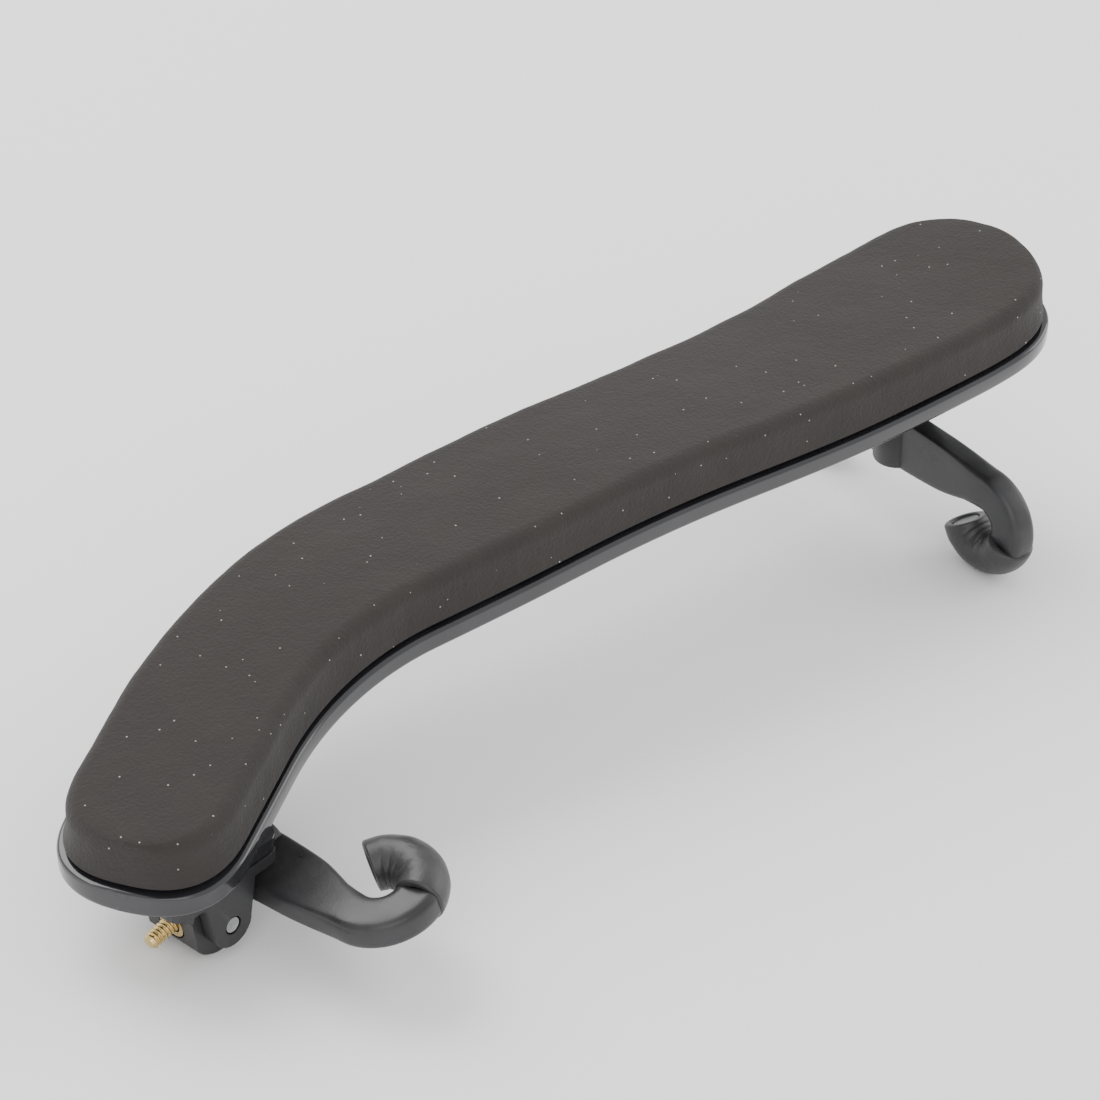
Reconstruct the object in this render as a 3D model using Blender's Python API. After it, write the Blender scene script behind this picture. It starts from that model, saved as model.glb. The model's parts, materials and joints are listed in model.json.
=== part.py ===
"""Collapsible violin shoulder rest: a moulded plate and foam pad on two fold-away forks.

Metres, +Z up, +X along the plate.  The right fork stands deployed and the left one is folded,
so the rest leans: it stands on the two right claws and the tip of the left fork's stem.
"""

import math

import bmesh
import bpy
import numpy as np
from mathutils import Matrix, Vector

MM = 0.001
GAP = 0.3                       # clearance between neighbouring pieces, mm

# Plate, in mm.  The centre line is straight in the middle and turns to the front at the left.
STRAIGHT_LEFT = -42.0
STRAIGHT_RIGHT = 40.0
LEFT_RADIUS = 100.0
LEFT_SWEEP = math.radians(31.0)
LEFT_TIP = 35.5                 # straight run beyond the left bend
RIGHT_RADIUS = 1700.0
RIGHT_TIP_X = 124.5
HALF_WIDTH_MID = 18.7
HALF_WIDTH_LEFT = 17.0
HALF_WIDTH_RIGHT = 22.0
RIM_HEIGHT = 4.1
TOP_SHEET = 1.9
RIM_WALL = 2.2
RIB = 2.0
LEFT_END_DEPTH = 17.0           # length of the rounded end, left and right
RIGHT_END_DEPTH = 22.0
END_POWER = 2.6                 # exponent of the superellipse that rounds both ends
LEFT_DROP = 8.0                 # depth of the curve that takes the left end down
RIGHT_DROP = 3.8                # depth of the curve that takes the right half down
RIGHT_LIFT = 2.5                # height the right end regains towards its tip

# Pad and its adhesive sheet, in mm
TAPE_THICKNESS = 0.5
PAD_TOP = 14.5                  # height of the pad's top above the rim's bottom edge
PAD_INSET = 1.0
PAD_EDGE = 2.6                  # rounding of the pad's upper edge

# Fold-away ends, in mm.  Each end frame has +X towards the middle and +Y across.
LEFT_END = (-106.6, -28.8)
LEFT_END_TURN = math.radians(8.0)
RIGHT_END = (97.6, 4.0)
RIGHT_END_TURN = math.radians(177.4)
PIVOT_DROP = 10.3
FOLDED = math.radians(100.0)
LEFT_SPIN = math.radians(7.0)
EAR_INNER = 6.6
EAR_OUTER = 9.4
EAR_RADIUS = 4.4
BASE_THICKNESS = 2.4
BASE_HALF_LENGTH = 12.5
SCREWS = ((-9.3, 5.7), (9.3, -5.7))
SLOT_HALF = 2.3
SLOT_REACH = 11.2               # the slot clears the stem as it swings outwards
RECESS_HEIGHT = 1.6
RECESS_REACH = 8.4
SWIVEL_RADIUS = 7.2
SWIVEL_FLAT = 6.2
SWIVEL_HALF_WIDTH = EAR_INNER - GAP
PIN_RADIUS = 1.5
PIN_INNER = 4.3
STEM_RADIUS = 1.65
BUSH_RADIUS = 2.9
STEM_TIP = 11.6                 # from the pivot to the stem's free end
HUB_TOP = 6.8                   # from the pivot to the top of the fork

# Fork, in mm: a is the distance along an arm from the stem, h is the depth below the fork's top
HUB_RADIUS = 4.9
HUB_DEPTH = 12.0
BLADE_HALF = 2.6
BLADE_ROOT = 12.5
BLADE_NECK = 10.4
NECK_A = 23.0
HOOK_A = 28.2                   # centre of the hook's bend
HOOK_H = 12.1
HOOK_RADIUS = 7.3
HOOK_START = math.radians(90.0)
HOOK_END = math.radians(-148.0)
TUBE_START = math.radians(-14.0)
TUBE_END = math.radians(-151.0)
BEND_RADIUS = 4.2               # half depth of the bare part of the hook
BEND_FLATNESS = 0.72            # its thickness against its depth
CORE_RADIUS = 2.7
CORE_LEAD = 3.0                 # how far the hook runs back into the blade
TUBE_RADIUS = 4.8

FINE = 24                       # sides of a small round piece


# ---------------------------------------------------------------- scene helpers

def clear_scene():
    """Remove every object that the scene starts with."""
    for item in list(bpy.data.objects):
        bpy.data.objects.remove(item, do_unlink=True)


def material(name, colour, roughness, metallic=0.0):
    """A plain Principled material for one sub-part."""
    result = bpy.data.materials.new(name)
    result.use_nodes = True
    shader = result.node_tree.nodes["Principled BSDF"]
    shader.inputs["Base Color"].default_value = (*colour, 1.0)
    shader.inputs["Roughness"].default_value = roughness
    shader.inputs["Metallic"].default_value = metallic
    result.diffuse_color = (*colour, 1.0)
    return result


def empty(name, parent, location, rotation):
    """A frame that other pieces hang on; location in mm."""
    result = bpy.data.objects.new(name, None)
    bpy.context.collection.objects.link(result)
    result.parent = parent
    result.location = [value * MM for value in location]
    result.rotation_euler = rotation
    return result


def add(name, mesh_data, parent, surface, smooth_angle=None):
    """Make an object from a bmesh whose coordinates are in mm."""
    bmesh.ops.recalc_face_normals(mesh_data, faces=mesh_data.faces)
    bmesh.ops.scale(mesh_data, vec=(MM, MM, MM), verts=mesh_data.verts)
    mesh = bpy.data.meshes.new(name)
    mesh_data.to_mesh(mesh)
    mesh_data.free()
    result = bpy.data.objects.new(name, mesh)
    bpy.context.collection.objects.link(result)
    result.parent = parent
    if surface:
        mesh.materials.append(surface)
    if smooth_angle:
        mesh.shade_smooth()
        mesh.set_sharp_from_angle(angle=math.radians(smooth_angle))
    return result


def cutter(name, mesh_data, parent):
    """A hidden object that only cuts others."""
    result = add(name, mesh_data, parent, None)
    result.hide_render = True
    result.display_type = "WIRE"
    return result


def boolean(target, operand, operation):
    """Stack one exact Boolean on a piece."""
    step = target.modifiers.new(operand.name, "BOOLEAN")
    step.operation = operation
    step.solver = "EXACT"
    step.object = operand


# ---------------------------------------------------------------- shape helpers

def loft(rings):
    """Closed skin over a list of equal-length rings of points, capped at both ends."""
    shape = bmesh.new()
    rows = [[shape.verts.new(point) for point in ring] for ring in rings]
    count = len(rows[0])
    for first, second in zip(rows, rows[1:]):
        for i in range(count):
            j = (i + 1) % count
            shape.faces.new((first[i], first[j], second[j], second[i]))
    shape.faces.new(rows[0])
    shape.faces.new(reversed(rows[-1]))
    return shape


def prism(outline, place, low, high):
    """Extrude a flat outline; place(u, v, w) puts a point of it in space."""
    return loft([[place(u, v, w) for u, v in outline] for w in (low, high)])


def along_y(u, v, w):
    return Vector((u, w, v))


def along_z(u, v, w):
    return Vector((u, v, w))


def circle(radius, centre=(0.0, 0.0), sides=FINE):
    """Corners of a regular polygon that stands for a circle."""
    angles = [2 * math.pi * (i + 0.5) / sides for i in range(sides)]
    return [(centre[0] + radius * math.cos(t), centre[1] + radius * math.sin(t)) for t in angles]


def turned(profile, place, sides=FINE):
    """Turn (radius, height) pairs about an axis, closed by flat caps."""
    return loft([[place(u, v, height) for u, v in circle(radius, sides=sides)]
                 for radius, height in profile])


def tube(outer, inner, low, high, sides=FINE):
    """A round sleeve along Z with flat ends."""
    shape = bmesh.new()
    corners = [(outer, low), (outer, high), (inner, high), (inner, low)]
    rows = [[shape.verts.new((u, v, height)) for u, v in circle(radius, sides=sides)]
            for radius, height in corners]
    for k in range(4):
        first = rows[k]
        second = rows[(k + 1) % 4]
        for i in range(sides):
            j = (i + 1) % sides
            shape.faces.new((first[i], first[j], second[j], second[i]))
    return shape


# ---------------------------------------------------------------- plate geometry

LEFT_ARC = LEFT_RADIUS * LEFT_SWEEP
S_LEFT = STRAIGHT_LEFT - LEFT_ARC - LEFT_TIP
S_RIGHT = RIGHT_TIP_X


def centre_line(s):
    """Point and heading of the plate's centre line at arc length s from its middle."""
    if s > STRAIGHT_RIGHT:
        turn = (s - STRAIGHT_RIGHT) / RIGHT_RADIUS
        x = STRAIGHT_RIGHT + RIGHT_RADIUS * math.sin(turn)
        return x, RIGHT_RADIUS * (1 - math.cos(turn)), turn
    if s >= STRAIGHT_LEFT:
        return s, 0.0, 0.0
    turn = min((STRAIGHT_LEFT - s) / LEFT_RADIUS, LEFT_SWEEP)
    beyond = max(STRAIGHT_LEFT - s - LEFT_ARC, 0.0)
    x = STRAIGHT_LEFT - LEFT_RADIUS * math.sin(turn) - beyond * math.cos(turn)
    y = -LEFT_RADIUS * (1 - math.cos(turn)) - beyond * math.sin(turn)
    return x, y, turn


def ease(t):
    """Smooth step from 0 to 1."""
    t = min(max(t, 0.0), 1.0)
    return t * t * (3 - 2 * t)


def half_width(s, inset=0.0):
    """Half width of the plate, rounded off at both ends."""
    width = HALF_WIDTH_MID
    width += (HALF_WIDTH_RIGHT - HALF_WIDTH_MID) * ease((s - 15.0) / 95.0)
    width += (HALF_WIDTH_LEFT - HALF_WIDTH_MID) * ease((-15.0 - s) / 75.0)
    width -= inset
    left = (S_LEFT + inset + LEFT_END_DEPTH - s) / LEFT_END_DEPTH
    right = (s - S_RIGHT + inset + RIGHT_END_DEPTH) / RIGHT_END_DEPTH
    reach = min(max(left, right, 0.0), 1.0)
    return width * (1 - reach ** END_POWER) ** (1 / END_POWER)


def rise(s):
    """Height of the plate's underside: a long S, curling down at both ends."""
    left = LEFT_DROP * ease((-45.0 - s) / 110.0)
    right = RIGHT_DROP * ease((s + 5.0) / 75.0) - RIGHT_LIFT * ease((s - 95.0) / 40.0)
    return -left - right


def on_plate(s, across, height):
    """A point of the plate, across its centre line and above its underside."""
    x, y, turn = centre_line(s)
    return Vector((x - across * math.sin(turn), y + across * math.cos(turn), rise(s) + height))


def stations(first, last, spacing, crowd=0.0):
    """Arc lengths from first to last, crowded towards the ends by cosine spacing."""
    count = max(2, round((last - first) / spacing))
    even = np.linspace(0.0, 1.0, count + 1)
    cosine = (1 - np.cos(np.pi * even)) / 2
    return first + (last - first) * ((1 - crowd) * even + crowd * cosine)


def bar(section, inset, spacing, end_margin=0.25):
    """Loft a cross section, given as a function of half width, along the plate."""
    first = S_LEFT + inset + end_margin
    last = S_RIGHT - inset - end_margin
    rings = []
    for s in stations(first, last, spacing, crowd=0.8):
        rings.append([on_plate(s, v, z) for v, z in section(half_width(s, inset))])
    return loft(rings)


def pocket(first, last, inset, low, high, spacing=4.0):
    """Closed cell under the plate between two arc lengths."""
    rings = []
    for s in stations(first, last, spacing):
        w = half_width(s, inset)
        rings.append([on_plate(s, v, z) for v, z in ((-w, low), (w, low), (w, high), (-w, high))])
    return loft(rings)


# ---------------------------------------------------------------- static pieces

def plate_section(width):
    """Rim outline with small bevels."""
    bevel = min(0.7, width / 3)
    return [(-width + bevel, 0.0), (width - bevel, 0.0), (width, bevel), (width, RIM_HEIGHT - bevel),
            (width - bevel, RIM_HEIGHT), (-width + bevel, RIM_HEIGHT), (-width, RIM_HEIGHT - bevel),
            (-width, bevel)]


def rounded_top(width, low, high, edge):
    """Section with square lower corners and quarter-round upper ones."""
    edge = min(edge, width * 0.8)
    arc = [math.radians(90.0 * i / 4) for i in range(5)]
    right = [(width - edge + edge * math.cos(t), high - edge + edge * math.sin(t)) for t in arc]
    left = [(-v, z) for v, z in reversed(right)]
    return [(-width, low), (width, low)] + right + left


def seat_span(end):
    """Arc lengths of the solid seat above one bracket."""
    if end == "left":
        middle = STRAIGHT_LEFT - LEFT_ARC - 17.5
    else:
        middle = RIGHT_END[0]
    return middle - 17.0, middle + 17.0


def build_plate(root, surface):
    """Moulded plate: a shallow tray with cross ribs and two solid seats."""
    plate = add("base_plate", bar(plate_section, 0.0, 3.4), root, surface, 30)
    left_seat = seat_span("left")
    right_seat = seat_span("right")
    cells = 6
    edges = np.linspace(left_seat[1], right_seat[0], cells + 1)
    depth = RIM_HEIGHT - TOP_SHEET
    for i in range(cells):
        cell = pocket(edges[i] + RIB / 2, edges[i + 1] - RIB / 2, RIM_WALL, -2.0, depth)
        boolean(plate, cutter(f"cell_{i}", cell, root), "DIFFERENCE")
    return plate


def build_pad(root, foam, tape):
    """Foam pad and the adhesive sheet under it."""
    low = RIM_HEIGHT + GAP
    sheet = bar(lambda w: [(-w, low), (w, low), (w, low + TAPE_THICKNESS), (-w, low + TAPE_THICKNESS)],
                PAD_INSET + 1.5, 6.5)
    add("pad_tape", sheet, root, tape, 30)
    base = low + TAPE_THICKNESS + GAP
    body = bar(lambda w: rounded_top(w, base, PAD_TOP, PAD_EDGE), PAD_INSET, 4.4)
    add("foam_pad", body, root, foam, 40)


def ear_outline():
    """Side view of one ear: a tongue that hangs from the base and ends in a round."""
    arc = [math.radians(180.0 + 180.0 * i / 14) for i in range(15)]
    round_end = [(EAR_RADIUS * math.cos(t), -PIVOT_DROP + EAR_RADIUS * math.sin(t)) for t in arc]
    top = -GAP - BASE_THICKNESS / 2
    return [(EAR_RADIUS + 1.6, top)] + [(-EAR_RADIUS - 1.6, top)] + round_end


def base_outline():
    """Plan of the bracket's base: a rounded rectangle."""
    corner = 3.0
    outline = []
    for cx, cy, start in ((1, 1, 0), (-1, 1, 90), (-1, -1, 180), (1, -1, 270)):
        centre = (cx * (BASE_HALF_LENGTH - corner), cy * (EAR_OUTER - corner))
        for i in range(5):
            t = math.radians(start + 22.5 * i)
            outline.append((centre[0] + corner * math.cos(t), centre[1] + corner * math.sin(t)))
    return outline


def slot_outline(reach):
    """Plan of the slot that the stem's free end swings through."""
    return [(SLOT_HALF, -SLOT_HALF), (SLOT_HALF, SLOT_HALF), (-reach, SLOT_HALF), (-reach, -SLOT_HALF)]


def build_bracket(side, frame, surface):
    """Screwed-on base with two ears that hold the pivot pins."""
    top = -GAP
    low = top - BASE_THICKNESS
    bracket = add(f"{side}_bracket", prism(base_outline(), along_z, low, top), frame, surface, 30)
    slot = prism(slot_outline(SLOT_REACH), along_z, low - 1, top + 1)
    boolean(bracket, cutter(f"{side}_slot", slot, frame), "DIFFERENCE")
    for sign in (-1, 1):
        ear = prism(ear_outline(), along_y, *sorted((sign * EAR_INNER, sign * EAR_OUTER)))
        boolean(bracket, cutter(f"{side}_ear_{sign + 1}", ear, frame), "UNION")
    hole = prism(circle(PIN_RADIUS + GAP, (0.0, -PIVOT_DROP)), along_y, -EAR_OUTER - 1, EAR_OUTER + 1)
    boolean(bracket, cutter(f"{side}_pin_hole", hole, frame), "DIFFERENCE")
    for index, (x, y) in enumerate(SCREWS):
        sunk = turned([(1.5, top + 1), (1.5, top - 0.8), (3.05, low + 0.45), (3.05, low - 1)], along_z)
        bmesh.ops.translate(sunk, vec=(x, y, 0), verts=sunk.verts)
        boolean(bracket, cutter(f"{side}_screw_hole_{index}", sunk, frame), "DIFFERENCE")
    return bracket


def build_screws(side, frame, plate, surface):
    """Two countersunk screws that hold the bracket up to the plate."""
    low = -GAP - BASE_THICKNESS
    boss = prism(base_outline(), along_z, 0.0, 3.2)
    boolean(plate, cutter(f"{side}_boss", boss, frame), "UNION")
    recess = prism(slot_outline(RECESS_REACH), along_z, -1.0, RECESS_HEIGHT)
    boolean(plate, cutter(f"{side}_recess", recess, frame), "DIFFERENCE")
    for index, (x, y) in enumerate(SCREWS):
        head = 2.7
        shape = turned([(1.2, 2.4), (1.2, -1.1), (head, low + 0.6), (head, low + 0.2)], along_z)
        bmesh.ops.translate(shape, vec=(x, y, 0), verts=shape.verts)
        add(f"{side}_screw_{index + 1}", shape, frame, surface, 30)
        bore = turned([(1.2 + GAP, 2.7), (1.2 + GAP, -3.0)], along_z, 16)
        bmesh.ops.translate(bore, vec=(x, y, 0), verts=bore.verts)
        boolean(plate, cutter(f"{side}_plate_bore_{index}", bore, frame), "DIFFERENCE")


def build_pins(side, frame, surface):
    """Stub pins: one through each ear into the swivel, clear of the stem."""
    for name, sign in (("front", -1), ("back", 1)):
        ends = sorted((sign * PIN_INNER, sign * (EAR_OUTER - 0.2)))
        pin = prism(circle(PIN_RADIUS, (0.0, -PIVOT_DROP)), along_y, *ends)
        add(f"{side}_{name}_pin", pin, frame, surface, 30)


# ---------------------------------------------------------------- folding pieces

def swivel_outline():
    """Side view of the swivel: a disc with a flat on top and below."""
    edge = math.asin(SWIVEL_FLAT / SWIVEL_RADIUS)
    steps = [edge * (2 * i / 12 - 1) for i in range(13)]
    right = [(SWIVEL_RADIUS * math.cos(t), SWIVEL_RADIUS * math.sin(t)) for t in steps]
    return right + [(-u, -v) for u, v in right]


def build_swivel(side, pivot, surface, brass):
    """Swivel block with its brass threaded bush."""
    block = prism(swivel_outline(), along_y, -SWIVEL_HALF_WIDTH, SWIVEL_HALF_WIDTH)
    swivel = add(f"{side}_swivel", block, pivot, surface, 30)
    bore = prism(circle(BUSH_RADIUS + GAP), along_z, -10, 10)
    boolean(swivel, cutter(f"{side}_bush_hole", bore, pivot), "DIFFERENCE")
    for sign in (-1, 1):
        ends = sorted((sign * (PIN_INNER - GAP), sign * 12))
        hole = prism(circle(PIN_RADIUS + GAP), along_y, *ends)
        boolean(swivel, cutter(f"{side}_swivel_hole_{sign + 1}", hole, pivot), "DIFFERENCE")
    bush = tube(BUSH_RADIUS, STEM_RADIUS + GAP, -SWIVEL_FLAT, SWIVEL_FLAT)
    add(f"{side}_bush", bush, pivot, brass, 30)


def build_stem(side, pivot, brass):
    """Threaded stem, from its chamfered free end down into the fork's hub."""
    low = -HUB_TOP - HUB_DEPTH + 2.0
    profile = [(STEM_RADIUS - 0.5, STEM_TIP), (STEM_RADIUS, STEM_TIP - 0.6), (STEM_RADIUS, low)]
    add(f"{side}_stem", turned(profile, along_z), pivot, brass, 30)


def hook_point(angle, radius=HOOK_RADIUS):
    """Point on a circle about the hook's centre, as (a, h)."""
    return HOOK_A + radius * math.cos(angle), HOOK_H - radius * math.sin(angle)


def rod(first, last, radius, steps, sign, sides=14):
    """Rings of a round rod that follows the hook's bend."""
    rings = []
    for i in range(steps + 1):
        angle = first + (last - first) * i / steps
        rings.append(rod_ring(angle, radius, sign, sides))
    return rings


def rod_ring(angle, radius, sign, sides, slide=0.0, flatness=1.0):
    """One ring of a rod, slid back along the arm when it lies before the bend."""
    ring = []
    for u, v in circle(radius, sides=sides):
        a, h = hook_point(angle, HOOK_RADIUS + u)
        ring.append(Vector((v * flatness, sign * (a - slide), -h)))
    return ring


def hook_shape(sign, sides=14):
    """Bare bend of the hook, then the thinner core that its sleeve is pushed on."""
    shoulder = TUBE_START + math.radians(2.0)
    rings = [rod_ring(HOOK_START, BEND_RADIUS, sign, sides, CORE_LEAD, BEND_FLATNESS)]
    for i in range(9):
        angle = HOOK_START + (shoulder - HOOK_START) * i / 8
        rings.append(rod_ring(angle, BEND_RADIUS, sign, sides, 0.0, BEND_FLATNESS))
    for i in range(10):
        angle = shoulder + (HOOK_END - shoulder) * i / 9
        rings.append(rod_ring(angle, CORE_RADIUS, sign, sides))
    return loft(rings)


def arm_shape(sign):
    """One arm: a tapering blade that runs into the hook's round core."""
    rings = []
    for a, top, low, half in ((0.0, 0.0, BLADE_ROOT, BLADE_HALF), (9.0, 0.0, BLADE_ROOT, BLADE_HALF),
                              (NECK_A - 4, 0.2, BLADE_NECK, BLADE_HALF),
                              (NECK_A, 0.5, 9.4, BLADE_HALF),
                              (HOOK_A - 1.0, 0.9, 8.7, BLADE_HALF)):
        middle = (top + low) / 2
        reach = (low - top) / 2
        corner = 0.8
        ring = []
        for i in range(16):
            t = 2 * math.pi * (i + 0.5) / 16
            blend = min(1.0, a / HOOK_A) ** 4
            square_u = math.copysign(half - (0 if abs(math.cos(t)) > 0.5 else corner), math.cos(t))
            square_v = math.copysign(reach - (0 if abs(math.sin(t)) > 0.5 else corner), math.sin(t))
            u = square_u * (1 - blend) + half * math.cos(t) * blend
            v = square_v * (1 - blend) + reach * math.sin(t) * blend
            ring.append(Vector((u, sign * a, -middle + v)))
        rings.append(ring)
    return loft(rings)


def build_fork(side, pivot, plastic, rubber):
    """Fork: round hub, two blades with hook cores, and the rubber sleeves on the hooks."""
    top = -HUB_TOP
    hub = turned([(HUB_RADIUS, 0.0), (HUB_RADIUS, -HUB_DEPTH)], along_z)
    fork = add(f"{side}_fork", hub, pivot, plastic, 35)
    fork.location = (0, 0, top * MM)
    for name, sign in (("front", -1), ("back", 1)):
        blade = cutter(f"{side}_{name}_blade", arm_shape(sign), pivot)
        core = cutter(f"{side}_{name}_core", hook_shape(sign), pivot)
        for piece in (blade, core):
            piece.location = (0, 0, top * MM)
            boolean(fork, piece, "UNION")
        build_tube(side, name, sign, pivot, rubber).location = (0, 0, top * MM)
    bore = cutter(f"{side}_hub_bore", prism(circle(STEM_RADIUS + GAP), along_z, -HUB_DEPTH + 1.7, 3), pivot)
    bore.location = (0, 0, top * MM)
    boolean(fork, bore, "DIFFERENCE")


def build_tube(side, name, sign, pivot, rubber):
    """Rubber sleeve over one hook, open at the neck and closed at the tip by a thin lip."""
    steps = 11
    outer = rod(TUBE_START, TUBE_END, TUBE_RADIUS, steps, sign)
    inner = rod(TUBE_START, TUBE_END, CORE_RADIUS + GAP, steps, sign)
    shape = bmesh.new()
    outside = [[shape.verts.new(p) for p in ring] for ring in outer]
    inside = [[shape.verts.new(p) for p in ring] for ring in inner]
    count = len(outside[0])
    for rows, flip in ((outside, False), (inside, True)):
        for first, second in zip(rows, rows[1:]):
            for i in range(count):
                j = (i + 1) % count
                face = (first[i], first[j], second[j], second[i])
                shape.faces.new(tuple(reversed(face)) if flip else face)
    for k in (0, -1):
        for i in range(count):
            j = (i + 1) % count
            shape.faces.new((outside[k][i], outside[k][j], inside[k][j], inside[k][i]))
    return add(f"{side}_{name}_tube", shape, pivot, rubber, 40)


# ---------------------------------------------------------------- assembly

def build_end(side, root, place, turn, fold, spin, plate, looks):
    """Everything under one end of the plate."""
    frame = empty(f"{side}_end", root, (*place, rise_at(side)), (0, 0, turn))
    build_bracket(side, frame, looks["bracket"])
    build_screws(side, frame, plate, looks["steel"])
    build_pins(side, frame, looks["steel"])
    pivot = empty(f"{side}_pivot", frame, (0, 0, -PIVOT_DROP), (0, -fold, 0))
    build_swivel(side, pivot, looks["swivel"], looks["brass"])
    build_stem(side, pivot, looks["brass"])
    spun = empty(f"{side}_spin", pivot, (0, 0, 0), (0, 0, spin))
    build_fork(side, spun, looks["fork"], looks["rubber"])


def rise_at(side):
    """Lowest height of the plate's underside over one bracket."""
    first, last = seat_span(side)
    return min(rise(first), rise(last))


def world_points():
    """Corner points of the finished nodes in world space."""
    bpy.context.view_layer.update()
    graph = bpy.context.evaluated_depsgraph_get()
    rows = []
    for item in bpy.data.objects:
        if item.type != "MESH" or item.hide_render:
            continue
        evaluated = item.evaluated_get(graph)
        matrix = np.array(evaluated.matrix_world)
        points = np.array([vertex.co for vertex in evaluated.data.vertices])
        rows.append(points @ matrix[:3, :3].T + matrix[:3, 3])
    return np.vstack(rows)


def stand(root):
    """Lean the rest until both ends touch the ground, then centre it over the origin."""
    points = world_points()
    low, high = 0.0, math.radians(15.0)
    for _ in range(40):
        lean = (low + high) / 2
        heights = -points[:, 0] * math.sin(-lean) + points[:, 2] * math.cos(lean)
        right = heights[points[:, 0] > 0].min()
        left = heights[points[:, 0] < 0].min()
        if right < left:
            low = lean
        else:
            high = lean
    root.rotation_euler = (0, -lean, 0)
    points = world_points()
    middle = (points.min(axis=0) + points.max(axis=0)) / 2
    root.location = (-middle[0], -middle[1], -points[:, 2].min())


def main():
    clear_scene()
    looks = {
        "bracket": material("bracket_black", (0.03, 0.03, 0.032), 0.35),
        "swivel": material("swivel_black", (0.035, 0.035, 0.037), 0.4),
        "fork": material("fork_black", (0.03, 0.03, 0.032), 0.3),
        "rubber": material("rubber_grey", (0.07, 0.07, 0.073), 0.5),
        "brass": material("brass", (0.72, 0.55, 0.25), 0.3, 1.0),
        "steel": material("steel", (0.5, 0.5, 0.5), 0.35, 1.0),
    }
    root = empty("rest_frame", None, (0, 0, 0), (0, 0, 0))
    plate = build_plate(root, material("plate_black", (0.02, 0.02, 0.022), 0.15))
    build_pad(root, material("foam_charcoal", (0.05, 0.046, 0.044), 0.95),
              material("tape_black", (0.02, 0.02, 0.02), 0.8))
    build_end("left", root, LEFT_END, LEFT_END_TURN, FOLDED, LEFT_SPIN, plate, looks)
    build_end("right", root, RIGHT_END, RIGHT_END_TURN, 0.0, 0.0, plate, looks)
    stand(root)


main()
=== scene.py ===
# %% [markdown]
# # A collapsible violin shoulder rest
# The real object is a moulded black plate with a foam pad, carried by two forks that fold away.
# The CAD frame holds every hard piece in its right place.  This script gives each piece its
# finish, and replaces the pad, the plate, the forks, the rubber sleeves and the stems by finer
# surfaces worked out with numpy.

# %% Load the frame
import json
import math

import bpy
import numpy as np
from mathutils import Matrix, Vector


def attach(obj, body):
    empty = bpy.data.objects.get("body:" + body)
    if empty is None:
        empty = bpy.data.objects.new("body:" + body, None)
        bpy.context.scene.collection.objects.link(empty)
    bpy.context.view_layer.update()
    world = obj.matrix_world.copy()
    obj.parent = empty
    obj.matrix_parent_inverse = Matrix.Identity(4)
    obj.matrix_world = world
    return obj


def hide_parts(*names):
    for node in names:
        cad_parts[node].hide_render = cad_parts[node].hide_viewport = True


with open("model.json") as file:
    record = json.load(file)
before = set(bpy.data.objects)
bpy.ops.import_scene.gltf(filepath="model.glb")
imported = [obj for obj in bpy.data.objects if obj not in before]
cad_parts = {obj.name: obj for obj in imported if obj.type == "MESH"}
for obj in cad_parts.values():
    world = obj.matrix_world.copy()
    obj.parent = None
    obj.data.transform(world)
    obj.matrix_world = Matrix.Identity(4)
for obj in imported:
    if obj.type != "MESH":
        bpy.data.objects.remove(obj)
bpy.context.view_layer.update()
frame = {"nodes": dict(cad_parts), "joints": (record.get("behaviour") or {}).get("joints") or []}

# %% [markdown]
# ## Where things are
# The rest stands a little tilted, because one fork is folded.  The plate was designed flat, so
# its own frame is turned by the lean and then lifted.  The lean can be read from the upright
# stem of the deployed fork, and the lift from where that fork's pivot is.

# %% Frames of the plate and the forks
MM = 0.001
PIVOT_DROP = 10.3
LEFT_DROP = 8.0
RIGHT_DROP = 3.8
RIGHT_LIFT = 2.5
ENDS = {"left": (-106.6, -28.8), "right": (97.6, 4.0)}
END_TURNS = {"left": math.radians(8.0), "right": math.radians(177.4)}
SEATS = {"left": (-130.6, -96.6), "right": (80.6, 114.6)}
joints = {joint["name"]: joint for joint in frame["joints"]}


def ease(t):
    """Smooth step: t clipped to 0..1, then 3 t squared less 2 t cubed."""
    t = np.clip(t, 0, 1)
    return t**2 * (3 - 2 * t)


def rise(s):
    """Height of the underside: a smooth step down at each end, and a little back up at the right tip."""
    left = LEFT_DROP * ease((-45.0 - s) / 110.0)
    right = RIGHT_DROP * ease((s + 5.0) / 75.0) - RIGHT_LIFT * ease((s - 95.0) / 40.0)
    return -left - right


def seat_height(side):
    """Underside of a seat: the lowest height of the plate over it."""
    return float(np.min(rise(np.array(SEATS[side]))))


def plate_frame():
    """Rotation and shift from the plate's own millimetres to the world's metres."""
    up = np.array(joints["right_turn"]["axis"])
    along = np.array([up[2], 0.0, -up[0]])
    turn = np.stack([along, [0.0, 1.0, 0.0], [up[0], 0.0, up[2]]], axis=1)
    pivot = np.array([*ENDS["right"], seat_height("right") - PIVOT_DROP])
    shift = np.array(joints["right_turn"]["pos_m"]) - turn @ pivot * MM
    return turn, shift


TURN, SHIFT = plate_frame()


def to_world(points):
    """Plate millimetres, as an array of any shape ending in 3, to world metres."""
    return points @ TURN.T * MM + SHIFT


def node_points(name):
    """Corners of a CAD node as an array."""
    mesh = frame["nodes"][name].data
    points = np.empty(len(mesh.vertices) * 3)
    mesh.vertices.foreach_get("co", points)
    return points.reshape(-1, 3)


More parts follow.
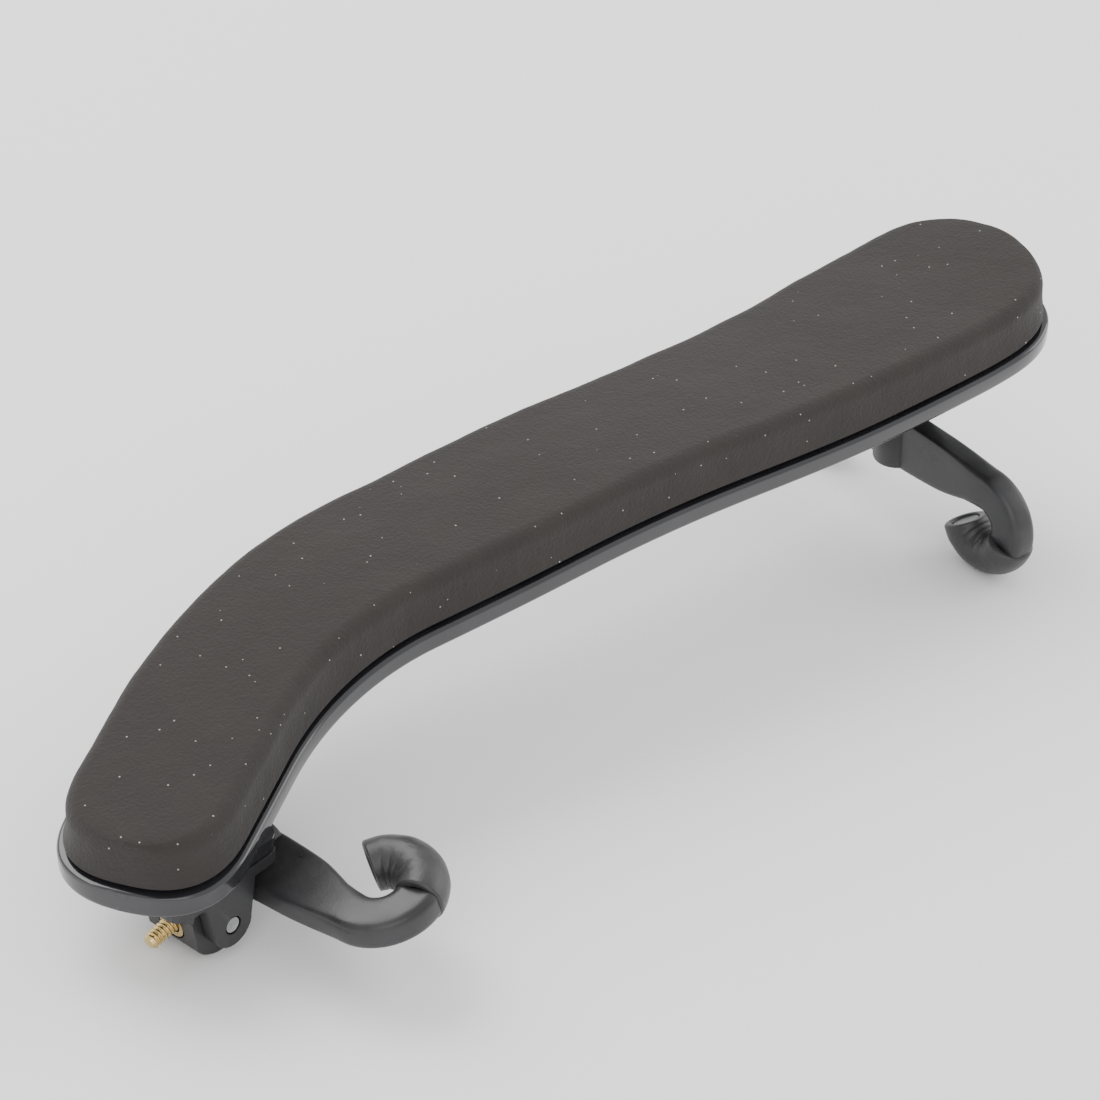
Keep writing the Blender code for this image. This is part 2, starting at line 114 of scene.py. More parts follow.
def fork_frame(side):
    """Pivot, and a matrix whose columns are the blade's normal, the arm and the stem axis."""
    joint = joints[f"{side}_turn"]
    stem = np.array(joint["axis"])
    arm = node_points(f"{side}_back_tube").mean(axis=0) - node_points(f"{side}_front_tube").mean(axis=0)
    arm -= stem * (arm @ stem)
    arm /= np.linalg.norm(arm)
    return np.array(joint["pos_m"]), np.stack([np.cross(arm, stem), arm, stem], axis=1)


FORKS = {side: fork_frame(side) for side in ("left", "right")}
print("lean", round(math.degrees(math.asin(-TURN[0, 2])), 2), "degrees")

# %% [markdown]
# ## From grids to meshes
# Every new surface is a grid of points: one direction goes round the piece, the other along it.
# One helper joins neighbouring points to faces and closes the two ends with a fan.

# %% Mesh helper
def signed_volume(vertices, triangles):
    """Six times the volume inside a mesh: the sum of a . (b x c) over its triangles."""
    a, b, c = (vertices[triangles[:, k]] for k in range(3))
    return np.einsum("ij,ij->", a, np.cross(b, c))


def make_piece(name, points, material, closed_along=False):
    """Mesh from a grid (along, around, 3) in world metres; rings are joined round and capped."""
    rows, count, _ = points.shape
    vertices = points.reshape(-1, 3)
    i, j = np.meshgrid(np.arange(rows if closed_along else rows - 1), np.arange(count), indexing="ij")
    next_i = (i + 1) % rows
    next_j = (j + 1) % count
    corners = (i * count + j, i * count + next_j, next_i * count + next_j, next_i * count + j)
    quads = np.stack(corners, axis=-1).reshape(-1, 4)
    caps = np.empty((0, 3), dtype=int)
    if not closed_along:
        around = np.arange(count)
        after = (around + 1) % count
        first = len(vertices) + 0 * around
        base = (rows - 1) * count
        vertices = np.vstack([vertices, points[0].mean(axis=0), points[-1].mean(axis=0)])
        caps = np.concatenate([np.stack([first, after, around], -1),
                               np.stack([first + 1, base + around, base + after], -1)])
    mesh = bpy.data.meshes.new(name)
    mesh.from_pydata(vertices.tolist(), [], quads.tolist() + caps.tolist())
    mesh.validate()
    if signed_volume(vertices, np.concatenate([quads[:, :3], quads[:, [0, 2, 3]], caps])) < 0:
        mesh.flip_normals()
    mesh.shade_smooth()
    mesh.set_sharp_from_angle(angle=math.radians(42))
    mesh.materials.append(material)
    piece = bpy.data.objects.new(name, mesh)
    bpy.context.scene.collection.objects.link(piece)
    print(name, len(mesh.polygons), "faces")
    return piece


def ripple(u, v, seed, octaves=4):
    """Sum of sine waves at turned directions and rising frequency: a cheap smooth noise, -1 to 1."""
    rng = np.random.default_rng(seed)
    total = np.zeros(np.broadcast(u, v).shape)
    for octave in range(octaves):
        for _ in range(3):
            angle, phase = rng.uniform(0, 2 * np.pi, 2)
            wave = 2.0**octave * (u * np.cos(angle) + v * np.sin(angle))
            total += np.sin(wave + phase) / (3 * 1.7**octave)
    return total


# %% [markdown]
# ## Finishes
# The moulded plate is glossy black plastic, the folding parts are the same plastic with a fine
# spark-eroded texture, the sleeves are rubber, the pad is closed-cell foam with light specks, and
# the stems are brass.  Grain and soft mottling appear in several of them, so they are node groups.

# %% Shared effects
def new_group(name, inputs, outputs):
    """Empty shader group with named float or colour sockets."""
    group = bpy.data.node_groups.new(name, "ShaderNodeTree")
    for label, kind, value in inputs:
        socket = group.interface.new_socket(name=label, in_out="INPUT", socket_type=kind)
        socket.default_value = value
    for label, kind in outputs:
        group.interface.new_socket(name=label, in_out="OUTPUT", socket_type=kind)
    group.nodes.new("NodeGroupInput")
    group.nodes.new("NodeGroupOutput")
    return group


def noise(tree, scale, detail=3.0, roughness=0.55):
    """Noise texture on object coordinates; scale in cells per metre."""
    coordinates = tree.nodes.new("ShaderNodeTexCoord")
    texture = tree.nodes.new("ShaderNodeTexNoise")
    texture.inputs["Scale"].default_value = scale
    texture.inputs["Detail"].default_value = detail
    texture.inputs["Roughness"].default_value = roughness
    tree.links.new(coordinates.outputs["Object"], texture.inputs["Vector"])
    return texture


def math_node(tree, operation, first, second):
    """Math node fed by a socket or a number on each side."""
    node = tree.nodes.new("ShaderNodeMath")
    node.operation = operation
    for index, value in enumerate((first, second)):
        if isinstance(value, (int, float)):
            node.inputs[index].default_value = value
        else:
            tree.links.new(value, node.inputs[index])
    return node.outputs[0]


def mottling_group():
    """Slow change of tone between two colours, and a matching change of roughness."""
    inputs = [("Scale", "NodeSocketFloat", 40.0), ("Dark", "NodeSocketColor", (0, 0, 0, 1)),
              ("Light", "NodeSocketColor", (1, 1, 1, 1)), ("Smooth", "NodeSocketFloat", 0.2),
              ("Rough", "NodeSocketFloat", 0.4)]
    outputs = [("Colour", "NodeSocketColor"), ("Roughness", "NodeSocketFloat")]
    group = new_group("mottling", inputs, outputs)
    source = group.nodes["Group Input"]
    sink = group.nodes["Group Output"]
    texture = noise(group, 40.0)
    group.links.new(source.outputs["Scale"], texture.inputs["Scale"])
    spread = group.nodes.new("ShaderNodeMapRange")
    spread.inputs["From Min"].default_value = 0.3
    spread.inputs["From Max"].default_value = 0.7
    group.links.new(texture.outputs["Fac"], spread.inputs["Value"])
    mix = group.nodes.new("ShaderNodeMix")
    mix.data_type = "RGBA"
    group.links.new(spread.outputs["Result"], mix.inputs["Factor"])
    group.links.new(source.outputs["Dark"], mix.inputs["A"])
    group.links.new(source.outputs["Light"], mix.inputs["B"])
    rough = group.nodes.new("ShaderNodeMapRange")
    group.links.new(spread.outputs["Result"], rough.inputs["Value"])
    group.links.new(source.outputs["Smooth"], rough.inputs["To Min"])
    group.links.new(source.outputs["Rough"], rough.inputs["To Max"])
    group.links.new(mix.outputs["Result"], sink.inputs["Colour"])
    group.links.new(rough.outputs["Result"], sink.inputs["Roughness"])
    return group


def grain_group():
    """Fine surface texture: two noises of different size turned into one height."""
    group = new_group("grain", [("Fine", "NodeSocketFloat", 2500.0), ("Coarse", "NodeSocketFloat", 400.0)],
                      [("Height", "NodeSocketFloat")])
    source = group.nodes["Group Input"]
    fine = noise(group, 2500.0)
    coarse = noise(group, 400.0)
    group.links.new(source.outputs["Fine"], fine.inputs["Scale"])
    group.links.new(source.outputs["Coarse"], coarse.inputs["Scale"])
    weighted = math_node(group, "MULTIPLY", coarse.outputs["Fac"], 0.6)
    total = math_node(group, "ADD", fine.outputs["Fac"], weighted)
    group.links.new(total, group.nodes["Group Output"].inputs["Height"])
    return group


def specks_group():
    """Mask of rare tiny dots: the middle of a few cells of a Voronoi pattern, chosen by colour."""
    group = new_group("specks", [("Scale", "NodeSocketFloat", 300.0), ("Size", "NodeSocketFloat", 0.1),
                                 ("Share", "NodeSocketFloat", 0.9)], [("Mask", "NodeSocketFloat")])
    source = group.nodes["Group Input"]
    coordinates = group.nodes.new("ShaderNodeTexCoord")
    cells = group.nodes.new("ShaderNodeTexVoronoi")
    group.links.new(coordinates.outputs["Object"], cells.inputs["Vector"])
    group.links.new(source.outputs["Scale"], cells.inputs["Scale"])
    near = math_node(group, "LESS_THAN", cells.outputs["Distance"], 0.1)
    group.links.new(source.outputs["Size"], near.node.inputs[1])
    split = group.nodes.new("ShaderNodeSeparateColor")
    group.links.new(cells.outputs["Color"], split.inputs["Color"])
    chosen = math_node(group, "GREATER_THAN", split.outputs[0], 0.9)
    group.links.new(source.outputs["Share"], chosen.node.inputs[1])
    mask = math_node(group, "MULTIPLY", near, chosen)
    group.links.new(mask, group.nodes["Group Output"].inputs["Mask"])
    return group


MOTTLING = mottling_group()
GRAIN = grain_group()
SPECKS = specks_group()

# %% [markdown]
# A finish is then a Principled shader with those groups placed in it.  Values that are the same
# all over, such as metallic or specular level, are set on the shader's own sockets.

# %% Finishes
def place_group(tree, group, **values):
    """Group node with its inputs set."""
    node = tree.nodes.new("ShaderNodeGroup")
    node.node_tree = group
    for label, value in values.items():
        node.inputs[label].default_value = value
    return node


def finish(name, dark, light, smooth, rough, tone_scale, fine, coarse, bump, metallic=0.0, coat=0.0):
    """Principled material with mottled colour and roughness and a grained surface."""
    material = bpy.data.materials.new(name)
    material.use_nodes = True
    tree = material.node_tree
    shader = tree.nodes["Principled BSDF"]
    shader.inputs["Metallic"].default_value = metallic
    shader.inputs["Coat Weight"].default_value = coat
    tones = place_group(tree, MOTTLING, Scale=tone_scale, Dark=(*dark, 1), Light=(*light, 1),
                        Smooth=smooth, Rough=rough)
    tree.links.new(tones.outputs["Colour"], shader.inputs["Base Color"])
    tree.links.new(tones.outputs["Roughness"], shader.inputs["Roughness"])
    grain = place_group(tree, GRAIN, Fine=fine, Coarse=coarse)
    relief = tree.nodes.new("ShaderNodeBump")
    relief.inputs["Strength"].default_value = bump
    relief.inputs["Distance"].default_value = 0.0004
    tree.links.new(grain.outputs["Height"], relief.inputs["Height"])
    tree.links.new(relief.outputs["Normal"], shader.inputs["Normal"])
    return material


def foam_finish():
    """Charcoal foam: grained, faintly cloudy, with light specks."""
    material = finish("foam", (0.030, 0.0265, 0.025), (0.038, 0.034, 0.032),
                      0.85, 1.0, 90.0, 1500.0, 420.0, 0.55)
    tree = material.node_tree
    shader = tree.nodes["Principled BSDF"]
    shader.inputs["Specular IOR Level"].default_value = 0.25
    shader.inputs["Sheen Weight"].default_value = 0.08
    tones = shader.inputs["Base Color"].links[0].from_socket
    specks = place_group(tree, SPECKS, Scale=620.0, Size=0.10, Share=0.80)
    mix = tree.nodes.new("ShaderNodeMix")
    mix.data_type = "RGBA"
    tree.links.new(specks.outputs["Mask"], mix.inputs["Factor"])
    tree.links.new(tones, mix.inputs["A"])
    mix.inputs["B"].default_value = (0.38, 0.36, 0.34, 1)
    tree.links.new(mix.outputs["Result"], shader.inputs["Base Color"])
    return material


FOAM = foam_finish()
GLOSS = finish("gloss_plastic", (0.010, 0.010, 0.012), (0.018, 0.018, 0.021),
               0.10, 0.2, 60.0, 900.0, 160.0, 0.03, coat=0.4)
SATIN = finish("satin_plastic", (0.014, 0.014, 0.015), (0.028, 0.028, 0.030),
               0.26, 0.42, 120.0, 2200.0, 300.0, 0.10)
RUBBER = finish("rubber", (0.022, 0.022, 0.023), (0.040, 0.040, 0.042),
                0.33, 0.5, 160.0, 1800.0, 350.0, 0.16)
TAPE = finish("tape", (0.012, 0.012, 0.012), (0.020, 0.020, 0.020), 0.6, 0.8, 80.0, 1500.0, 300.0, 0.1)
BRASS = finish("brass", (0.62, 0.44, 0.17), (0.82, 0.64, 0.31),
               0.2, 0.4, 300.0, 3000.0, 500.0, 0.08, metallic=1.0)
STEEL = finish("steel", (0.40, 0.40, 0.41), (0.60, 0.60, 0.61),
               0.22, 0.4, 300.0, 3000.0, 500.0, 0.08, metallic=1.0)

# %% [markdown]
# ## The plate
# The plate follows a centre line that is straight in the middle and bends to the front at the
# left.  A section is carried along it.  Underneath the real moulding is hollow between cross
# ribs, so the middle of the section rises into a pocket wherever there is no rib or seat.

# %% Centre line and width
STRAIGHT_LEFT = -42.0
STRAIGHT_RIGHT = 40.0
LEFT_RADIUS = 100.0
LEFT_SWEEP = math.radians(31.0)
LEFT_TIP = 35.5
RIGHT_RADIUS = 1700.0
LEFT_ARC = LEFT_RADIUS * LEFT_SWEEP
S_LEFT = STRAIGHT_LEFT - LEFT_ARC - LEFT_TIP
S_RIGHT = 124.5
MIDDLE_HALF = 18.7
LEFT_NARROWING = 1.7
RIGHT_WIDENING = 3.3
LEFT_ROUNDING = 17.0
RIGHT_ROUNDING = 22.0
END_POWER = 2.6


def centre_line(s):
    """x, y and heading: a wide arc to the right, a line, then a tight arc and a line to the left."""
    right = np.clip((s - STRAIGHT_RIGHT) / RIGHT_RADIUS, 0, None)
    left = np.clip((STRAIGHT_LEFT - s) / LEFT_RADIUS, 0, LEFT_SWEEP)
    beyond = np.clip(STRAIGHT_LEFT - s - LEFT_ARC, 0, None)
    x = np.clip(s, STRAIGHT_LEFT, STRAIGHT_RIGHT) + RIGHT_RADIUS * np.sin(right)
    x -= LEFT_RADIUS * np.sin(left) + beyond * np.cos(left)
    y = RIGHT_RADIUS * (1 - np.cos(right)) - LEFT_RADIUS * (1 - np.cos(left)) - beyond * np.sin(left)
    return x, y, right + left


def half_width(s, inset):
    """Half width: three values joined by smooth steps, rounded at both ends by a superellipse."""
    width = MIDDLE_HALF + RIGHT_WIDENING * ease((s - 15.0) / 95.0) - LEFT_NARROWING * ease((-15.0 - s) / 75.0)
    left_reach = (S_LEFT + inset + LEFT_ROUNDING - s) / LEFT_ROUNDING
    right_reach = (s - S_RIGHT + inset + RIGHT_ROUNDING) / RIGHT_ROUNDING
    reach = np.clip(np.maximum(left_reach, right_reach), 0, 1)
    return (width - inset) * (1 - reach**END_POWER) ** (1 / END_POWER)


def on_plate(s, across, height):
    """Points of the plate from arc length, distance across and height above the underside."""
    x, y, turn = centre_line(s)
    place = (x - across * np.sin(turn), y + across * np.cos(turn), rise(s) + height)
    return to_world(np.stack(place, axis=-1))


def stations(inset, count):
    """Arc lengths crowded towards the two rounded ends."""
    even = np.linspace(0, 1, count)
    mixed = 0.25 * even + 0.75 * (1 - np.cos(np.pi * even)) / 2
    return (S_LEFT + inset + 0.02 + (S_RIGHT - S_LEFT - 2 * inset - 0.04) * mixed)[:, None]


# %% Plate surface
RIM_HEIGHT = 4.1
RIM_ROUNDING = 0.9
POCKET = 2.2
WALL = 2.2
CELLS = 6
HOLLOW_START = SEATS["left"][1]
HOLLOW_END = SEATS["right"][0]


def pocket_depth(s):
    """Pocket height: full inside each cell, nothing over a rib, a seat or beyond the seats."""
    length = (HOLLOW_END - HOLLOW_START) / CELLS
    place = (s - HOLLOW_START) / length
    inside = (place > 0) & (place < CELLS)
    edge = np.minimum(place % 1, 1 - place % 1) * length
    return POCKET * np.clip((edge - 0.8) / 0.5, 0, 1) * inside


def plate_grid():
    """Section round the rim, with the underside's middle lifted into the pockets."""
    hollow = np.linspace(HOLLOW_START, HOLLOW_END, 420)
    s = np.unique(np.concatenate([stations(0.0, 300).ravel(), hollow]))[:, None]
    w = half_width(s, 0.0)
    r = np.minimum(RIM_ROUNDING, w * 0.45)
    deep = pocket_depth(s)
    wall = np.minimum(WALL, w * 0.5)
    one = np.ones_like(w)
    parts = []
    for sx, start in ((1, 270), (1, 0), (-1, 90), (-1, 180)):
        low = start in (180, 270)
        angle = np.radians(start + np.linspace(0, 90, 6))[None, :]
        across = sx * (w - r) + r * np.cos(angle)
        height = (r if low else RIM_HEIGHT - r) + r * np.sin(angle)
        parts.append((across, height * one))
    edge = w - wall
    parts += [(-edge, 0.0 * one), (0.1 - edge, deep), (edge - 0.1, deep), (edge, 0.0 * one)]
    across = np.concatenate([a for a, _ in parts], axis=1)
    height = np.concatenate([h for _, h in parts], axis=1)
    return on_plate(s, across, height)


plate = make_piece("plate_shell", plate_grid(), GLOSS)
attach(plate, "rest")
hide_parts("base_plate")

# %% [markdown]
# Each bracket is screwed up against a flat seat, which is moulded on because the plate itself
# curves.  The seat has the same plan as the bracket's base: a rounded rectangle.  The real seat
# also has a shallow recess for the stem's free end, which this surface leaves out.

# %% Seats
SEAT_HALF_LENGTH = 12.5
SEAT_HALF_WIDTH = 9.4
SEAT_CORNER = 3.0


def rounded_rectangle(half_x, half_y, corner, count=10):
    """Outline as four quarter circles joined by straight sides."""
    angle = np.linspace(0, 90, count)
    points = []
    for sx, sy, start in ((1, 1, 0), (-1, 1, 90), (-1, -1, 180), (1, -1, 270)):
        t = np.radians(angle + start)
        x = sx * (half_x - corner) + corner * np.cos(t)
        y = sy * (half_y - corner) + corner * np.sin(t)
        points.append(np.stack([x, y], -1))
    return np.concatenate(points)


def seat_grid(side):
    """Rounded rectangle lifted along its own height with a small bottom bevel."""
    x, y = ENDS[side]
    c, s = math.cos(END_TURNS[side]), math.sin(END_TURNS[side])
    outline = rounded_rectangle(SEAT_HALF_LENGTH, SEAT_HALF_WIDTH, SEAT_CORNER)
    rows = []
    for shrink, height in ((0.4, 0.0), (0.12, 0.12), (0.0, 0.4), (0.0, 3.0)):
        u, v = (outline * (1 - shrink / 10)).T
        level = np.full_like(u, seat_height(side) + height)
        rows.append(np.stack([x + u * c - v * s, y + u * s + v * c, level], -1))
    return to_world(np.array(rows))


for side in ("left", "right"):
    seat = make_piece(f"{side}_seat", seat_grid(side), GLOSS)
    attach(seat, "rest")

# %% [markdown]
# ## The foam pad
# The pad is one slab of dense foam.  Its cut edge is not perfect: the outline wavers by a few
# tenths of a millimetre, the upper edge is soft, and the top crowns slightly.  Foam this dense
# does not drape, so the surface is modelled directly instead of being simulated as cloth.

# %% Pad surface
PAD_BASE = RIM_HEIGHT + 1.1
PAD_TOP = 14.6
PAD_INSET = 1.0
PAD_LEAN = 0.9
PAD_EDGE = 3.0


def pad_grid():
    """Section with flared skirt, leaning side, soft shoulder and crowned top, plus gentle ripples."""
    s = stations(PAD_INSET, 420)
    w = half_width(s, PAD_INSET)
    small = np.clip(w / 8.0, 0.05, 1)
    one = np.ones_like(w)
    t = np.linspace(0, 1, 24)[None, :]
    side = w - (PAD_LEAN * t + 0.25 * np.sin(np.pi * t)) * small
    side_height = (PAD_BASE + (PAD_TOP - PAD_EDGE - PAD_BASE) * t) * one
    angle = np.radians(np.linspace(0, 90, 14))[None, 1:]
    shoulder = w - (PAD_LEAN + PAD_EDGE * (1 - np.cos(angle))) * small
    shoulder_height = (PAD_TOP - PAD_EDGE + PAD_EDGE * np.sin(angle)) * one
    share = np.linspace(1, -1, 61)[None, 1:-1]
    top = (w - (PAD_LEAN + PAD_EDGE) * small) * share
    top_height = PAD_TOP + 0.35 * (1 - share**2) * small
    across = np.concatenate([side, shoulder, top, -shoulder[:, ::-1], -side[:, ::-1]], axis=1)
    height = np.concatenate([side_height, shoulder_height, top_height,
                             shoulder_height[:, ::-1], side_height[:, ::-1]], axis=1)
    around = np.linspace(0, 6, across.shape[1])[None, :]
    outward = np.sign(across) * np.clip((height - PAD_BASE) / 2, 0, 1)
    across = across + 0.22 * outward * ripple(s * 0.16, around * 0.3, 3) * small
    height = height + 0.12 * np.clip((height - PAD_BASE - 6) / 4, 0, 1) * ripple(s * 0.2, across * 0.2, 8)
    return on_plate(s + 0 * across, across, height)


pad = make_piece("foam_cushion", pad_grid(), FOAM)
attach(pad, "rest")
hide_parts("foam_pad")

# %% [markdown]
# ## The forks
# A fork is a hub with two blades.  Each blade is deepest at the hub and narrows to a neck, then
# its core runs on as a round rod inside the rubber sleeve.  Sections are superellipses, nearly
# square at the hub and round in the sleeve, carried along the arm.

# %% Fork surfaces
HUB_TOP = 6.8
HUB_DEPTH = 12.0
HUB_RADIUS = 4.9
NECK = 23.0
HOOK_A = 28.2
HOOK_H = 12.1
HOOK_RADIUS = 7.3
HOOK_END = math.radians(-148.0)
SLEEVE_START = 0.437


def from_fork(side, across, arm, height):
    """Fork millimetres to world metres; height is up the stem from the pivot."""
    pivot, axes = FORKS[side]
    return pivot + np.stack([across, arm, height], axis=-1) @ axes.T * MM


def hook_path(t):
    """Centre of the hook: a circle, with t running from 0 at the arm to 1 at the tip."""
    angle = math.pi / 2 + (HOOK_END - math.pi / 2) * t
    a = HOOK_A + HOOK_RADIUS * np.cos(angle)
    h = HOOK_H - HOOK_RADIUS * np.sin(angle)
    return a, h, angle


def blade_grid(side, sign):
    """Superellipse sections: tall and square at the hub, then round the bare bend, then the core."""
    a = np.linspace(0, HOOK_A, 60)[:, None]
    t = np.clip(a / NECK, 0, 1)
    late = np.clip((a - 14.0) / (HOOK_A - 14.0), 0, 1)
    late = late**2 * (3 - 2 * late)
    top = 0.05 + 0.55 * late
    low = 12.5 - 2.1 * t**1.6 - 1.4 * late
    bare = np.linspace(0.01, SLEEVE_START, 40)
    sleeved = np.linspace(SLEEVE_START + 0.004, 1.0, 24)
    bend = np.concatenate([bare, sleeved])[:, None]
    core = bend > SLEEVE_START
    hook_a, hook_h, heading = hook_path(bend)
    middle_a = np.concatenate([a, hook_a])
    middle_h = np.concatenate([(top + low) / 2, hook_h])
    heading = np.concatenate([0 * a + math.pi / 2, heading])
    thick = np.concatenate([2.6 + 0.42 * late, np.where(core, 2.7, 3.02)])
    deep = np.concatenate([(low - top) / 2, np.where(core, 2.7, 4.2)])
    power = np.concatenate([2 / (4 + 5 * (1 - late)), np.where(core, 1.0, 0.5)])
    angle = np.linspace(0, 2 * np.pi, 49)[:-1][None, :]
    u = np.sign(np.cos(angle)) * np.abs(np.cos(angle)) ** power * thick
    v = np.sign(np.sin(angle)) * np.abs(np.sin(angle)) ** power * deep
    arm = sign * (middle_a + v * np.cos(heading))
    return from_fork(side, u, arm, -HUB_TOP - (middle_h - v * np.sin(heading)))


def hub_grid(side):
    """Hub: a cylinder with rounded rims, hollowed slightly round the stem."""
    edge = HUB_RADIUS
    low = -HUB_DEPTH
    profile = np.array([(2.2, 0.0), (2.6, 0.0), (edge - 0.6, 0.0), (edge - 0.15, -0.15), (edge, -0.6),
                        (edge, low + 0.6), (edge - 0.15, low + 0.15), (edge - 0.6, low), (2.0, low),
                        (1.6, low + 0.4)])
    angle = np.linspace(0, 2 * np.pi, 65)[:-1][None, :]
    radius = profile[:, :1]
    height = -HUB_TOP + profile[:, 1:] + 0 * angle
    return from_fork(side, radius * np.cos(angle), radius * np.sin(angle), height)


# %% [markdown]
# ## The rubber sleeves
# The end of each hook wears a length of rubber tube; the bend before it is bare plastic.  Bent
# this tightly, the tube wrinkles on the inside of the bend, stretches thin on the outside, and
# stays open at its end with a rounded lip.

# %% Sleeve surface
TUBE_RADIUS = 4.7
BORE_RADIUS = 3.0


def sleeve_grid(side, sign):
    """Tube about the hook: outer wall with inner-bend wrinkles, rounded lips, then the bore back."""
    start = SLEEVE_START + 0.013
    along = np.linspace(start, 1.0, 90)
    lip = np.radians(np.linspace(0, 180, 9))[1:-1]
    middle = (TUBE_RADIUS + BORE_RADIUS) / 2
    wall = (TUBE_RADIUS - BORE_RADIUS) / 2
    end_t = 1.0 + 0.012 * np.sin(lip)
    end_r = middle + wall * np.cos(lip)
    begin_t = start - 0.012 * np.sin(lip)
    t = np.concatenate([along, end_t, along[::-1], begin_t])[:, None]
    radius = np.concatenate([np.full(90, TUBE_RADIUS), end_r, np.full(90, BORE_RADIUS), end_r[::-1]])[:, None]
    outer = np.concatenate([np.ones(90), np.zeros(7), np.zeros(90), np.zeros(7)])[:, None]
    a, h, heading = hook_path(t)
    angle = np.linspace(0, 2 * np.pi, 57)[:-1][None, :]
    inward = np.clip(-np.cos(angle), 0, 1) ** 1.5
    bend = np.clip((t - start) / 0.08, 0, 1) * np.clip((1 - t) / 0.08, 0, 1)
    wrinkle = np.abs(np.sin(np.pi * 11 * t)) ** 0.6 - 0.75
    slack = ripple(t * 14, np.cos(angle) * 2, 5 if sign > 0 else 6)
    radius = radius + outer * bend * (0.32 * inward * wrinkle + 0.10 * slack)
    flat = 1 + 0.05 * outer * bend
    u = radius * flat * np.sin(angle)
    v = radius * np.cos(angle)
    return from_fork(side, u, sign * (a + v * np.cos(heading)), -HUB_TOP - (h - v * np.sin(heading)))


for side in ("left", "right"):
    hub = make_piece(f"{side}_hub", hub_grid(side), SATIN)
    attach(hub, f"{side}_fork_body")
    for name, sign in (("front", -1), ("back", 1)):
        blade = make_piece(f"{side}_{name}_blade", blade_grid(side, sign), SATIN)
        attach(blade, f"{side}_fork_body")
        sleeve = make_piece(f"{side}_{name}_sleeve", sleeve_grid(side, sign), RUBBER, closed_along=True)
        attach(sleeve, f"{side}_fork_body")
        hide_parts(f"{side}_{name}_tube")
    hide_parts(f"{side}_fork")

# %% [markdown]
# ## The brass stems
# The stem is a coarse threaded rod.  Its radius rises and falls with the height minus the part
# of a turn already gone round, which is exactly what makes a ring into a helix.

# %% Stem surface
PITCH = 0.8
STEM_RADIUS = 1.65
STEM_TIP = 11.6


def stem_grid(side):
    """Threaded rod: radius follows a rounded triangle wave of height over pitch less angle."""
    height = np.linspace(STEM_TIP, -HUB_TOP - HUB_DEPTH + 2.2, 380)[:, None]
    angle = np.linspace(0, 2 * np.pi, 49)[:-1][None, :]
    phase = height / PITCH - angle / (2 * np.pi)
    wave = np.abs((phase % 1) * 2 - 1)
    depth = 0.34 * np.clip((0.88 - wave) / 0.6, 0, 1)
    taper = 0.5 * np.clip((height - STEM_TIP + 0.8) / 0.8, 0, 1)
    radius = np.minimum(STEM_RADIUS - depth, STEM_RADIUS - taper)
    return from_fork(side, radius * np.cos(angle), radius * np.sin(angle), height + 0 * angle)


for side in ("left", "right"):
    stem = make_piece(f"{side}_thread", stem_grid(side), BRASS)
    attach(stem, f"{side}_stem_body")
    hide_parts(f"{side}_stem")

# %% [markdown]
# ## Carried-over pieces
# The brackets, swivels, pins, screws and bushes keep their CAD shape.  A weld joins their loose
# triangles, and a fine bevel rounds the edges so that they catch the light as moulded edges do.

# %% Finishes of the CAD nodes
CAD_FINISH = {"bracket": SATIN, "swivel": SATIN, "bush": BRASS, "pin": STEEL, "screw": STEEL, "tape": TAPE}


def dress(node, material, width):
    """Give a CAD node its finish, weld its triangles and bevel its edges."""
    node.data.materials.clear()
    node.data.materials.append(material)
    weld = node.modifiers.new("weld", "WELD")
    weld.merge_threshold = 0.00001
    bevel = node.modifiers.new("bevel", "BEVEL")
    bevel.width = width
    bevel.segments = 2
    bevel.limit_method = "ANGLE"
    bevel.angle_limit = math.radians(35)


for name, node in frame["nodes"].items():
    for word, material in CAD_FINISH.items():
        if word in name and name != "foam_pad":
            dress(node, material, 0.00025 if word in ("bracket", "swivel") else 0.00008)

# %% [markdown]
# ## Floor, light and camera
# A pale seamless floor and three broad soft lights give the even look of a catalogue picture:
# one high behind the pad for the long reflections in the rim, one in front to open the shadows,
# and a weaker one from the right.

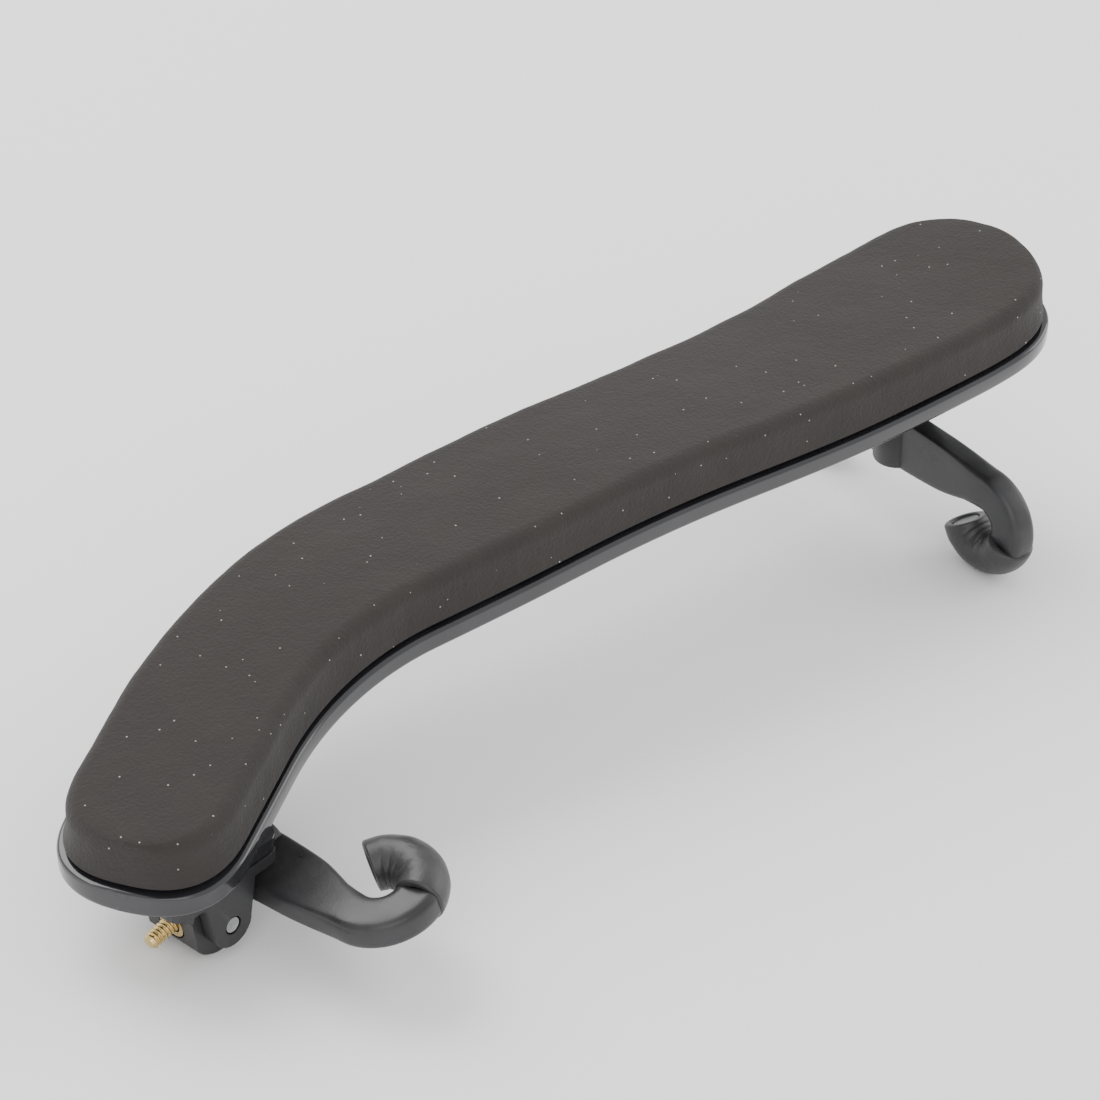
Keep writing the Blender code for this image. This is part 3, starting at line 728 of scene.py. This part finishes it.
# %% Stage
def make_floor():
    """Large pale plane under the rest."""
    mesh = bpy.data.meshes.new("floor")
    size = 4.0
    corners = [(-size, -size, 0), (size, -size, 0), (size, size, 0), (-size, size, 0)]
    mesh.from_pydata(corners, [], [(0, 1, 2, 3)])
    material = bpy.data.materials.new("floor_white")
    material.use_nodes = True
    shader = material.node_tree.nodes["Principled BSDF"]
    shader.inputs["Base Color"].default_value = (0.98, 0.98, 0.98, 1)
    shader.inputs["Roughness"].default_value = 0.9
    mesh.materials.append(material)
    floor = bpy.data.objects.new("floor", mesh)
    bpy.context.scene.collection.objects.link(floor)


def area_light(name, place, target, size, power):
    """Square soft box aimed at a point."""
    data = bpy.data.lights.new(name, "AREA")
    data.shape = "SQUARE"
    data.size = size
    data.energy = power
    light = bpy.data.objects.new(name, data)
    light.location = place
    light.rotation_euler = (Vector(target) - Vector(place)).to_track_quat("-Z", "Y").to_euler()
    bpy.context.scene.collection.objects.link(light)


def make_world(strength):
    """Even pale surroundings."""
    world = bpy.data.worlds.new("studio")
    world.use_nodes = True
    background = world.node_tree.nodes["Background"]
    background.inputs["Color"].default_value = (1, 1, 1, 1)
    background.inputs["Strength"].default_value = strength
    bpy.context.scene.world = world


make_floor()
area_light("key", (-0.1, 0.75, 0.95), (0, 0, 0.03), 0.9, 11.0)
area_light("fill", (-0.9, -0.9, 0.8), (0, 0, 0.02), 1.0, 5.0)
area_light("side", (1.0, -0.3, 0.5), (0, 0, 0.03), 0.7, 4.0)
make_world(1.15)

# %% [markdown]
# The camera is a long lens from the front left, looking down at about 36 degrees.
# Its place is given in the plate's own frame, so it stays right if the lean changes.

# %% Camera
CAMERA_AZIMUTH = 0.70510
CAMERA_TILT = 0.63705
CAMERA_PLACE = np.array([-383.9, -449.9, 429.2])


def make_camera():
    """Camera axes from azimuth a and tilt e: right (cos a, -sin a, 0), up, and back towards it."""
    a, e = CAMERA_AZIMUTH, CAMERA_TILT
    right = np.array([math.cos(a), -math.sin(a), 0])
    up = np.array([math.sin(a) * math.sin(e), math.cos(a) * math.sin(e), math.cos(e)])
    axes = TURN @ np.stack([right, up, np.cross(right, up)], axis=1)
    data = bpy.data.cameras.new("camera")
    data.lens = 125.4
    data.sensor_width = 36.0
    data.clip_start = 0.01
    camera = bpy.data.objects.new("camera", data)
    camera.matrix_world = Matrix.Translation(to_world(CAMERA_PLACE)) @ Matrix(axes.tolist()).to_4x4()
    bpy.context.scene.collection.objects.link(camera)
    bpy.context.scene.camera = camera


make_camera()
